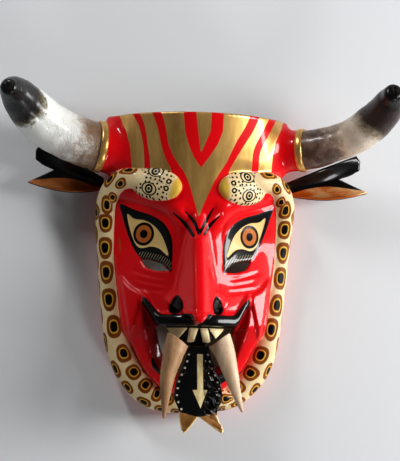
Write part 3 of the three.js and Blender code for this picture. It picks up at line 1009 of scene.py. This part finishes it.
def loft(name, path, radius_at, sides, steps, cap_round):
    """A round bar with soft ends; radius_at(along, angle) is in millimetres."""
    path = resample(path, steps)
    tangents, normals, binormals = frames_along(path)
    angles = np.linspace(0, 2 * math.pi, sides, endpoint=False)
    rings, along_values = [], []

    def add_ring(i, scale, push):
        along = i / (steps - 1)
        radius = radius_at(along, angles) * scale
        rings.append(path[i] + tangents[i] * push + normals[i] * (np.cos(angles) * radius)[:, None]
                     + binormals[i] * (np.sin(angles) * radius)[:, None])
        along_values.extend([along] * sides)

    for scale in (0.3, 0.7, 0.93):
        add_ring(0, scale, 0.0)
    for i in range(steps):
        add_ring(i, 1.0, 0.0)
    push = float(np.mean(radius_at(1.0, angles))) * cap_round
    for turn in (0.35, 0.7, 1.0):
        add_ring(steps - 1, 1 - cap_round * (1 - math.cos(turn * math.pi / 2)),
                 push * math.sin(turn * math.pi / 2))
    add_ring(steps - 1, (1 - cap_round) * 0.5, push)
    tip = path[-1] + tangents[-1] * push
    points = np.concatenate([*rings, [path[0], tip]])
    faces = ring_quads(len(rings), sides)
    last_ring, foot_point, tip_point = (len(rings) - 1) * sides, len(points) - 2, len(points) - 1
    for k in range(sides):
        n = (k + 1) % sides
        faces.append((k, foot_point, n))
        faces.append((last_ring + k, last_ring + n, tip_point))
    return new_mesh(name, points, faces, {"along": along_values + [0, 1]})


HORNS = {
    "left": ([(-111, 107.4, 46), (-138, 118.2, 58), (-157.5, 132, 76), (-169.5, 141.5, 98),
              (-175, 142.4, 116)],
             [(0.3, 21.8), (0.55, 20.7), (0.78, 16.2), (0.93, 10.8), (1, 7.6)]),
    "right": ([(116.5, 108.7, 50.5), (144, 118.4, 63), (163.3, 134.5, 82), (168.5, 146, 102),
               (167.8, 150, 116)],
              [(0.3, 16.8), (0.55, 17.3), (0.78, 15.2), (0.93, 11), (1, 8.6)]),
}


def horn_material(name, stops, lean, blotch, blotch_reach):
    """Horn along its length: stops are colours from the socket (0) to the tip (1)."""
    s = Shader(name)
    along = s.attribute("along")
    coarse, fine = s.noise(36, 5, 0.65), s.noise(170, 5, 0.7)
    place = s.plus(along, s.math("MULTIPLY_ADD", coarse, 0.22, -0.11))
    place = s.plus(place, s.math("MULTIPLY_ADD", fine, 0.18, -0.09))
    height_on_face = s.node("SeparateXYZ", "Y", {0: s.position()})
    place = s.plus(place, s.math("MULTIPLY_ADD", height_on_face, lean, -0.118 * lean))
    colour = s.ramp(place, stops)
    stained = s.times(s.above(s.noise(58, 5, 0.65), 0.52, 0.06), s.below(along, blotch_reach, 0.1))
    colour = s.mix(s.times(stained, 0.75), colour, blotch)
    warped = s.node("VectorMath", 0, {0: s.node("TexNoise", "Color"), 1: (0.01, 0.01, 0.01),
                                      2: s.position((1.8, 0.5, 1))}, operation="MULTIPLY_ADD")
    edge = s.cells(150, warped, feature="DISTANCE_TO_EDGE")
    cracked = s.times(s.below(edge, 0.03, 0.025), s.above(coarse, 0.54, 0.07))
    colour = s.mix(s.times(cracked, 0.5), colour, (0.09, 0.06, 0.04))
    height = s.minus(s.math("MULTIPLY_ADD", fine, 0.5, coarse), s.times(cracked, 0.6))
    return s.finish(Base_Color=colour, Roughness=s.blend(fine, 0.18, 0.42), Specular_IOR_Level=0.3,
                    Normal=s.bump(height, 0.35, 0.0009), Coat_Weight=0.2, Coat_Roughness=0.08)


def build_horn(name, material):
    """A horn from its socket to its tip, with faint growth waves and flutes."""
    points, radii = HORNS[name]
    socket = SOCKETS[name]
    foot = socket.mouth - socket.axis * (SOCKET_RECESS - 0.4)
    path = curved([foot, socket.mouth, *points], 10)
    base = socket.radius - SOCKET_RIM - 0.35
    radius = through([(0, base), (0.08, base), *radii])
    rng = np.random.default_rng(len(name))
    phases = rng.uniform(0, 6.28, 6)

    def radius_at(along, angle):
        free = ramp(0.08, 0.25, along)
        waves = 0.22 * np.sin(46 * along + 0.8 * np.sin(angle + phases[0]) + phases[1])
        flutes = 0.25 * np.sin(3 * angle + phases[2] + 2 * along) + 0.12 * np.sin(7 * angle + phases[3])
        return radius(along) + free * (waves + flutes) * (1 - 0.6 * along)

    obj = loft("horn_" + name + "_shaped", path, radius_at, 72, 110, 0.5)
    place_piece(obj, material, "horn_" + name)


# A band's section: how deep in the socket, and how far out from the collar's radius.
BAND_PROFILE = [(3.0, -2.05), (-0.25, -1.65), (-0.5, -0.85), (-0.25, 0.05), (1.2, 0.5), (3.0, 0.65),
                (4.8, 0.5), (6.0, 0.05), (6.6, -1.75)]
BAND_SIDES = 96


def build_band(name):
    """The gold band round a horn socket's mouth, turned about the socket's axis."""
    socket = SOCKETS[name]
    angles = np.linspace(0, 2 * math.pi, BAND_SIDES, endpoint=False)[:, None]
    first = np.cross(socket.axis, (0, 1, 0))
    first /= np.linalg.norm(first)
    second = np.cross(socket.axis, first)
    ring = np.sin(angles) * first + np.cos(angles) * second
    rings = [socket.mouth - socket.axis * depth + ring * (socket.radius + swell)
             for depth, swell in BAND_PROFILE]
    faces = ring_quads(len(rings), BAND_SIDES, closed=True)
    obj = new_mesh("socket_band_" + name, np.concatenate(rings), faces)
    s = Shader("band " + name)
    brush = s.noise(140, 4, 0.6)
    colour = s.mix(s.above(brush, 0.5, 0.25), (0.55, 0.31, 0.10), GOLD)
    s.finish(Base_Color=colour, Metallic=0.7, Roughness=0.3, Normal=s.bump(brush, 0.15, 0.0004))
    place_piece(obj, s.material)


TUSKS = {"tusk_left": [(-18.3, -70.5, 81.5), (-23, -89, 85), (-27.3, -106, 88), (-29, -125, 89),
                       (-29.7, -143.2, 87)],
         "tusk_right": [(19.2, -70, 81.5), (24.5, -87.5, 85), (29.8, -105.5, 88), (35, -122.5, 89),
                        (40, -136.4, 87)]}
# The slanted cut at a tusk's root, in metres: its drop, how far down it fades, and its width.
TUSK_CUT_DROP, TUSK_CUT_REACH, TUSK_ROOT_WIDTH = 0.009, 0.018, 0.0192
tusk_radius = through([(0, 9.6), (0.15, 9.6), (0.45, 7.3), (0.75, 4.3), (1, 1.3)])


def tusk_material(name, dark, pale):
    """Dull tusk with a long grain and dark pores."""
    s = Shader(name)
    long_grain = s.noise(70, 5, 0.6, s.position((1, 0.25, 1)))
    stain = s.noise(28, 4, 0.6)
    colour = s.mix(s.above(long_grain, 0.5, 0.2), dark, pale)
    colour = s.mix(s.times(s.above(stain, 0.55, 0.12), 0.45), colour, dark)
    pore = s.below(s.cells(340, s.position((1, 0.45, 1))), 0.12, 0.06)
    colour = s.mix(s.times(pore, 0.75), colour, (0.10, 0.05, 0.025))
    height = s.minus(s.times(long_grain, 0.7), pore)
    return s.finish(Base_Color=colour, Roughness=0.5, Normal=s.bump(height, 0.6, 0.0008))


def build_tusk(name, path, material):
    """A tusk whose root is cut at a slant, lower on its inner side."""
    def radius_at(along, angle):
        ridge = 0.35 * np.cos(2 * angle + 0.6) + 0.12 * np.sin(5 * angle + 9 * along)
        return tusk_radius(along) * (1 + 0.03 * ridge)

    obj = loft(name + "_shaped", curved(path, 8), radius_at, 40, 60, 0.9)
    side = 1 if path[0][0] > 0 else -1
    root = Vector(to_metres(path[0]))
    for vertex in obj.data.vertices:
        below = (root.y - vertex.co.y) / TUSK_CUT_REACH
        inner = 0.5 - side * (vertex.co.x - root.x) / TUSK_ROOT_WIDTH
        vertex.co.y -= TUSK_CUT_DROP * max(0.0, inner) * max(0.0, min(1.0, 1 - below))
    place_piece(obj, material, name)


# ---------------------------------------------------------------------------- leather sheets
def leather_sheet(place, columns, rows, thickness):
    """A stiff sheet with rounded edges, as points, faces, and each point's u, v and whether it
    is on the upper side. place(u, v) gives the middle surface in millimetres."""
    u, v = np.meshgrid(np.linspace(0, 1, columns), np.linspace(0, 1, rows), indexing="ij")
    middle = np.stack(place(u, v), axis=-1)
    du, dv = np.gradient(middle, axis=0), np.gradient(middle, axis=1)
    normal = np.cross(du, dv)
    normal /= most(1e-9, np.linalg.norm(normal, axis=-1))[..., None]
    edge = least(u * columns, (1 - u) * columns, v * rows, (1 - v) * rows)
    half = thickness / 2 * np.sqrt(np.clip(1 - (1 - np.clip(edge / 1.5, 0, 1)) ** 2, 0.02, 1))
    top, under = middle + normal * half[..., None], middle - normal * half[..., None]
    count = columns * rows
    points = np.concatenate([top.reshape(-1, 3), under.reshape(-1, 3)])
    index = np.arange(count).reshape(columns, rows)
    faces = []
    for i in range(columns - 1):
        for j in range(rows - 1):
            a, b, c, d = index[i, j], index[i + 1, j], index[i + 1, j + 1], index[i, j + 1]
            faces.append((a, b, c, d))
            faces.append((d + count, c + count, b + count, a + count))
    rim = list(index[:, 0]) + list(index[-1, 1:]) + list(index[-2::-1, -1]) + list(index[0, -2:0:-1])
    for a, b in zip(rim, rim[1:] + rim[:1]):
        faces.append((a, a + count, b + count, b))
    on_top = np.repeat([True, False], count)
    return points, faces, np.tile(u.ravel(), 2), np.tile(v.ravel(), 2), on_top


EAR_ROOT_X, EAR_THICK = 85.5, 2.4
UNPAINTED = -5


def ear_place(side, scale):
    """The cupped ear: u runs from the root to the end, v from the long lobe to the square one."""
    def place(u, v):
        reach = mix(75, 50, ramp(0, 0.5, v)) + 18 * ramp(0.5, 0.72, v)
        end_y = mix(mix(70, 82, ramp(0, 0.5, v)), 105, np.clip((v - 0.5) / 0.5, 0, 1))
        sag = np.sin(math.pi * u)
        x = EAR_ROOT_X + scale * u * (reach - 3.5 * ramp(0.88, 1, v))
        y = mix(mix(66, 76.5, v), end_y, u) - 6.5 * sag * (1 - v)
        cup = 13 * (2 * v - 1) ** 2 * (0.2 + 0.8 * sag)
        return side * x, y, 14.8 + 8 * u + cup
    return place


def ear_material(name, gold, pale):
    """Black leather with a smeared bronze lining; pale is how much of a pale smear shows in it."""
    s = Shader(name)
    grain = s.noise(420, 4, 0.6)
    smear = s.noise(50, 5, 0.6, s.position((0.4, 1, 1)))
    is_gold = s.above(s.attribute("gilt"), 0.0, 0.25)
    bronze = s.mix(s.above(smear, 0.5, 0.16), (gold[0] * 0.55, gold[1] * 0.42, gold[2] * 0.35), gold)
    bronze = s.mix(s.times(s.above(smear, 0.53, 0.04), pale), bronze, (0.86, 0.55, 0.26))
    colour = s.mix(is_gold, INK, bronze)
    height = s.plus(s.times(grain, 0.4), smear)
    return s.finish(Base_Color=colour, Metallic=s.times(is_gold, 0.2),
                    Roughness=s.blend(is_gold, 0.30, 0.42), Normal=s.bump(height, 0.2, 0.0006),
                    Coat_Weight=0.5, Coat_Roughness=0.08, Specular_IOR_Level=0.25)


def build_ear(name, side, scale, material):
    """An ear, gilt on the front of its long lobe."""
    points, faces, u, v, on_top = leather_sheet(ear_place(side, scale), 60, 40, EAR_THICK)
    arch = 0.02 + 0.46 * np.sin(math.pi * np.clip(u * 0.95 + 0.02, 0, 1)) ** 0.8
    gilt = (arch - v) * 40
    if side < 0:
        faces = [tuple(reversed(f)) for f in faces]
    values = {"gilt": np.where(on_top == (side > 0), gilt, UNPAINTED)}
    obj = new_mesh(name + "_sheet", points, faces, values)
    place_piece(obj, material, name)


TONGUE_TOP, TONGUE_TIP, FORK_LENGTH = -79.0, -142.0, 15.0
TONGUE_THICK = 3.0
DOT_TOP_Y, DOT_SPACING, DOT_INSET = -87, 6.1, 2.6
tongue_half_width = through([(-158, 19.7), (-148, 18), (-138.7, 17.2), (-125, 21.8),
                             (-111.5, 20), (-98, 14.3), (-79, 9.3)])


def tongue_middle_x(y):
    """The tongue's middle line, whose forked end leans to the right."""
    return 1.2 + 4.5 * ramp(0, 18, -140 - y)


def tongue_place(u, v):
    """The tongue: u runs across it, v from the two tips up to its nailed top."""
    across = 2 * u - 1
    fork = FORK_LENGTH * (1 - np.abs(np.abs(across) - 0.85) / 0.85)
    y = mix(TONGUE_TIP - fork, TONGUE_TOP, v)
    below = TONGUE_TOP - y
    x = across * tongue_half_width(y) + tongue_middle_x(y)
    crest = 3 * (1 - np.abs(across)) * ramp(10, 30, below) + 0.14 * below
    wander = 1.6 * np.sin(y * 0.37 + 1.0) + 1.1 * np.sin(y * 0.23 + 4 * across)
    creases = 0.7 * np.sin(y * 0.95 + 6 * across + wander) * ramp(0.12, 0.5, across)
    creases = creases * (0.55 + 0.45 * np.sin(y * 0.21 + 9 * across))
    creases = creases + 0.22 * np.sin(y * 0.7 - 3 * across + wander) * ramp(-0.2, -0.8, across)
    return x, y, TEETH_FRONT + 0.45 + TONGUE_THICK / 2 + crest + creases * ramp(8, 24, below)


def tongue_material():
    """Creased black lacquer with a gold arrow, pale dots and a bronze fork."""
    s = Shader("tongue leather")
    arrow, tips = s.above(s.attribute("arrow")), s.above(s.attribute("tips"))
    brush = s.noise(160, 4, 0.6)
    gold = s.mix(s.above(brush, 0.5, 0.2), (0.80, 0.62, 0.28), (0.95, 0.84, 0.50))
    colour = s.mix(arrow, INK, gold)
    edge = s.below(s.attribute("border"), 1.1, 0.3)
    fork = s.mix(s.above(brush, 0.5, 0.2), (0.20, 0.075, 0.012), (0.42, 0.20, 0.05))
    colour = s.mix(tips, colour, s.mix(edge, fork, (0.85, 0.62, 0.25)))
    colour = s.mix(s.above(s.attribute("dots")), colour, (0.82, 0.78, 0.66))
    painted = s.either(arrow, tips)
    wave = s.node("TexWave", "Fac", {"Vector": s.position(turn=0.85), "Scale": 52, "Distortion": 7,
                                     "Detail": 2.5, "Detail Scale": 0.9},
                  wave_type="BANDS", bands_direction="Y")
    height = s.plus(s.times(s.noise(55, 4, 0.6), 0.25), s.times(painted, 0.1))
    height = s.math("MULTIPLY_ADD", s.times(wave, s.attribute("fold")), 1.3, height)
    return s.finish(Base_Color=colour, Metallic=s.times(painted, 0.12),
                    Roughness=s.blend(painted, 0.13, 0.36), Normal=s.bump(height, 1.0, 0.006),
                    Specular_IOR_Level=0.9)


def build_tongue():
    """The tongue, with its arrow, dots, painted fork and creases."""
    points, faces, u, v, front = leather_sheet(tongue_place, 75, 120, TONGUE_THICK)
    x, y = points[:, 0], points[:, 1]
    local = x - tongue_middle_x(y)
    shaft = least(2.7 - np.abs(local - 1.4), -86.5 - y, y + 120)
    head = inside([(-5.6, -118.5), (8.0, -118.5), (1.7, -135.0)], local, y)
    tips = TONGUE_TIP - 0.8 + 0.28 * np.abs(local) - y
    fold = ramp(4.5, 9, local) * ramp(-90, -100, y) * ramp(-142, -138, y)
    dots = most(*(1.0 - np.hypot(np.abs(local) - tongue_half_width(dot_y) + DOT_INSET, y - dot_y)
                  for dot_y in DOT_TOP_Y - DOT_SPACING * np.arange(9)))
    obj = new_mesh("tongue_sheet", points, faces, {
        "arrow": np.where(front, most(shaft, head), UNPAINTED),
        "dots": np.where(front, dots, UNPAINTED),
        "tips": tips,
        "fold": np.where(front, fold, 0),
        "border": least(v * 77, 36 * least(u, 1 - u))})
    place_piece(obj, tongue_material(), "tongue")


# ---------------------------------------------------------------------------- stage
FLOOR_HALF = 6.0
FLOOR_GREY = (0.75, 0.765, 0.78)


def build_stage():
    """A plain floor for the mask to lie on."""
    floor_mesh = bpy.data.meshes.new("floor")
    corners = [(x * FLOOR_HALF, y * FLOOR_HALF, 0) for x, y in ((-1, -1), (1, -1), (1, 1), (-1, 1))]
    floor_mesh.from_pydata(corners, [], [(0, 1, 2, 3)])
    floor = bpy.data.objects.new("floor", floor_mesh)
    bpy.context.scene.collection.objects.link(floor)
    floor.data.materials.append(Shader("floor").finish(Base_Color=FLOOR_GREY, Roughness=0.9))


LIGHT_TARGET = Vector((0, 0, 0.05))
WORLD_SIDES, WORLD_ZENITH = 0.25, 0.05


def area_light(name, place, size, power):
    """A rectangular light in metres and watts, turned to the mask."""
    light = bpy.data.lights.new(name, "AREA")
    light.shape = "RECTANGLE"
    light.size, light.size_y = size
    light.energy = power
    obj = bpy.data.objects.new(name, light)
    obj.location = place
    obj.rotation_euler = (LIGHT_TARGET - Vector(place)).to_track_quat("-Z", "Y").to_euler()
    bpy.context.scene.collection.objects.link(obj)


def build_lights():
    """A window on the right, small lights upper left and lower right, and a dark zenith."""
    area_light("key", (1.30, 0.14, 0.62), (0.40, 1.1), 22)
    area_light("fill", (-0.60, 1.10, 0.80), (0.16, 0.40), 6)
    area_light("low", (0.80, -1.45, 0.85), (0.30, 0.55), 6)
    world = bpy.data.worlds.new("studio")
    bpy.context.scene.world = world
    world.use_nodes = True
    nodes, links = world.node_tree.nodes, world.node_tree.links
    direction = nodes.new("ShaderNodeTexCoord")
    split = nodes.new("ShaderNodeSeparateXYZ")
    fade = nodes.new("ShaderNodeMapRange")
    links.new(direction.outputs["Generated"], split.inputs[0])
    links.new(split.outputs["Z"], fade.inputs["Value"])
    for key, value in {"From Min": 0.1, "From Max": 0.8, "To Min": WORLD_SIDES,
                       "To Max": WORLD_ZENITH}.items():
        fade.inputs[key].default_value = value
    background = nodes["Background"]
    background.inputs["Color"].default_value = (0.97, 0.98, 1.0, 1)
    links.new(fade.outputs["Result"], background.inputs["Strength"])
    view = bpy.context.scene.view_settings
    view.view_transform, view.look = "Standard", "Medium High Contrast"


CAMERA_YAW, CAMERA_PITCH, CAMERA_ROLL = (math.radians(turn) for turn in (6.0, 5.0, 1.2))
CAMERA_AIM = Vector(to_metres((5.98, 29.85, 20)))
CAMERA_DISTANCE, VIEW_WIDTH, SENSOR = 1.5, 0.376, 36.0


def build_camera():
    """The viewer stands a little to the left of and below the face, looking down on it."""
    right = Vector((math.cos(CAMERA_YAW), 0, math.sin(CAMERA_YAW)))
    flat_back = Vector((-math.sin(CAMERA_YAW), 0, math.cos(CAMERA_YAW)))
    up = Vector((0, math.cos(CAMERA_PITCH), 0)) + flat_back * math.sin(CAMERA_PITCH)
    back = right.cross(up)
    turned_right = right * math.cos(CAMERA_ROLL) + up * math.sin(CAMERA_ROLL)
    turned_up = up * math.cos(CAMERA_ROLL) - right * math.sin(CAMERA_ROLL)
    rotation = Matrix((turned_right, turned_up, back)).transposed().to_4x4()
    camera_data = bpy.data.cameras.new("camera")
    camera_data.sensor_fit = "HORIZONTAL"
    camera_data.sensor_width = SENSOR
    camera_data.lens = SENSOR * CAMERA_DISTANCE / VIEW_WIDTH
    camera = bpy.data.objects.new("camera", camera_data)
    camera.matrix_world = Matrix.Translation(CAMERA_AIM + back * CAMERA_DISTANCE) @ rotation
    bpy.context.scene.collection.objects.link(camera)
    bpy.context.scene.camera = camera


build_camera()
build_stage()
build_lights()
build_mask_body()
build_horn("left", horn_material("left horn", [
    (0.0, (0.22, 0.14, 0.095)), (0.17, (0.30, 0.21, 0.15)), (0.29, (0.80, 0.79, 0.74)),
    (0.60, (0.86, 0.88, 0.84)), (0.645, (0.16, 0.14, 0.08)), (0.70, (0.010, 0.006, 0.004)),
    (0.82, (0.03, 0.031, 0.032)), (1.0, (0.004, 0.004, 0.004))], -2.4, (0.22, 0.12, 0.06), 0.26))
build_horn("right", horn_material("right horn", [
    (0.0, (0.19, 0.12, 0.09)), (0.20, (0.22, 0.145, 0.115)), (0.30, (0.62, 0.48, 0.36)),
    (0.52, (0.74, 0.65, 0.53)), (0.60, (0.32, 0.26, 0.19)), (0.66, (0.055, 0.036, 0.028)),
    (0.88, (0.035, 0.022, 0.02)), (1.0, (0.005, 0.004, 0.004))], 2.0, (0.065, 0.035, 0.025), 0.34))
tusk_finish = {"tusk_left": tusk_material("left tusk", (0.24, 0.12, 0.05), (0.62, 0.37, 0.19)),
               "tusk_right": tusk_material("right tusk", (0.50, 0.32, 0.19), (0.86, 0.68, 0.48))}
for tusk_name, tusk_path in TUSKS.items():
    build_tusk(tusk_name, tusk_path, tusk_finish[tusk_name])
build_band("left")
build_band("right")
build_tongue()
build_ear("ear_left", -1, 0.945, ear_material("left ear", (0.62, 0.22, 0.05), 0.15))
build_ear("ear_right", 1, 1.055, ear_material("right ear", (0.88, 0.26, 0.04), 0.8))
